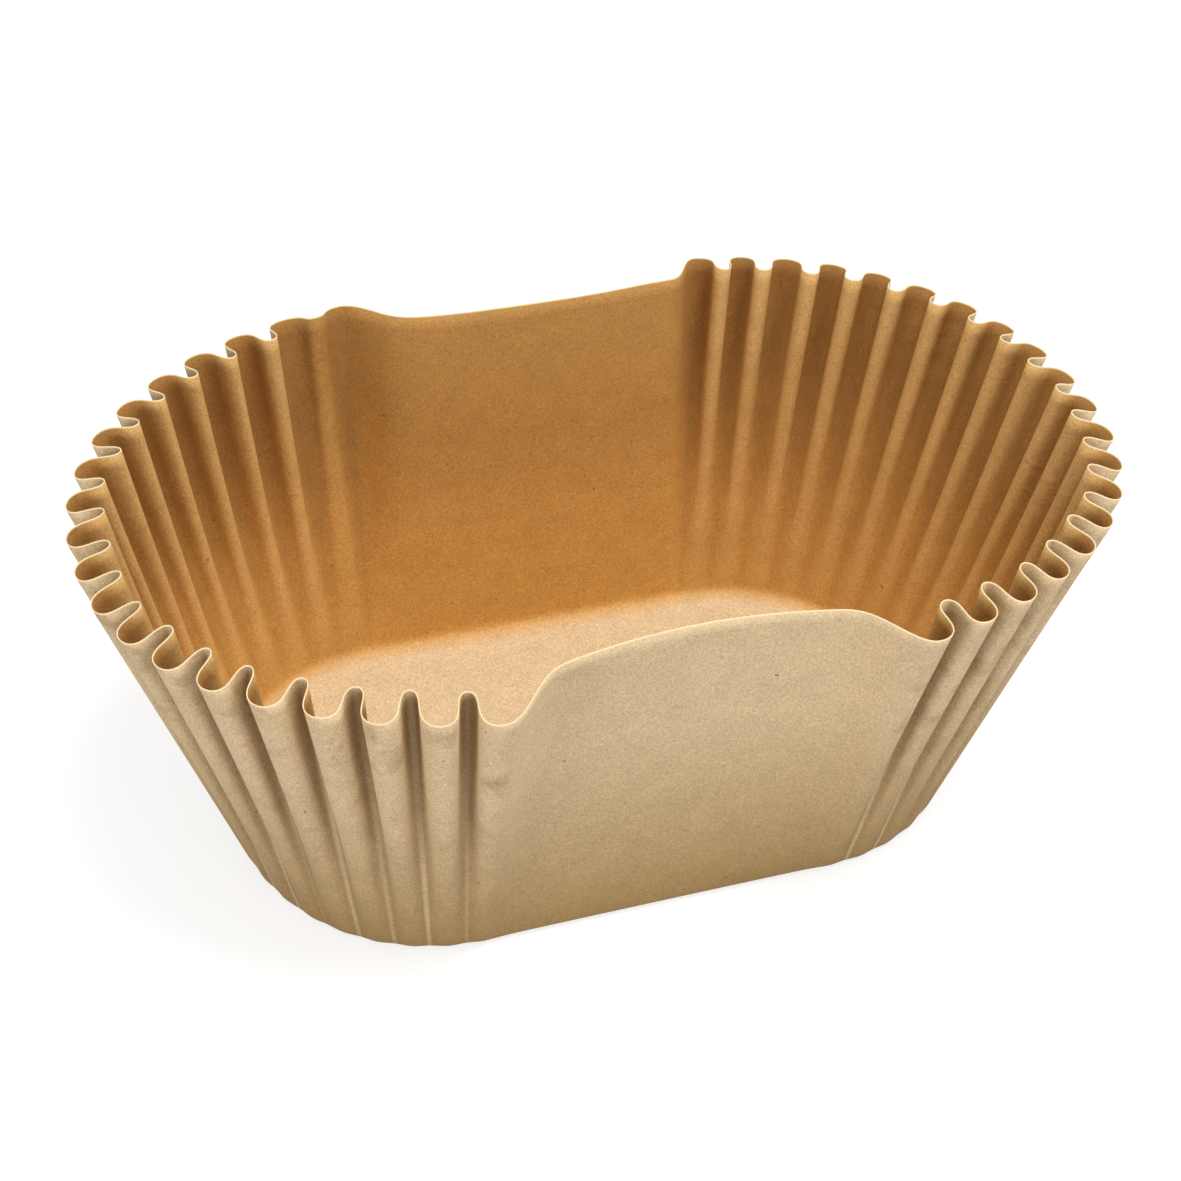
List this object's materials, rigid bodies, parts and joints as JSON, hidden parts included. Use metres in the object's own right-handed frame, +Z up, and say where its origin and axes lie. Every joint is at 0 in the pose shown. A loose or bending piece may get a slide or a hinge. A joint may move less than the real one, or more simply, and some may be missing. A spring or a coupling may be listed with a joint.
{
  "type": "loaf tin liner",
  "caption": "Oblong baking paper tray with a flat floor, plain side panels and round pleated ends, made to line a loaf tin.",
  "frame": {"origin": "middle of the underside of the flat floor", "axes": "+Z up towards the open rim, +X along the long side towards a pleated end, +Y towards a plain side panel"},
  "size_m": [0.1588, 0.1002, 0.0622],
  "materials": {
    "baking_paper": "matt unbleached greaseproof paper with fine fibres"
  },
  "bodies": {
    "root": {"liner": "baking_paper"}
  },
  "joints": []
}
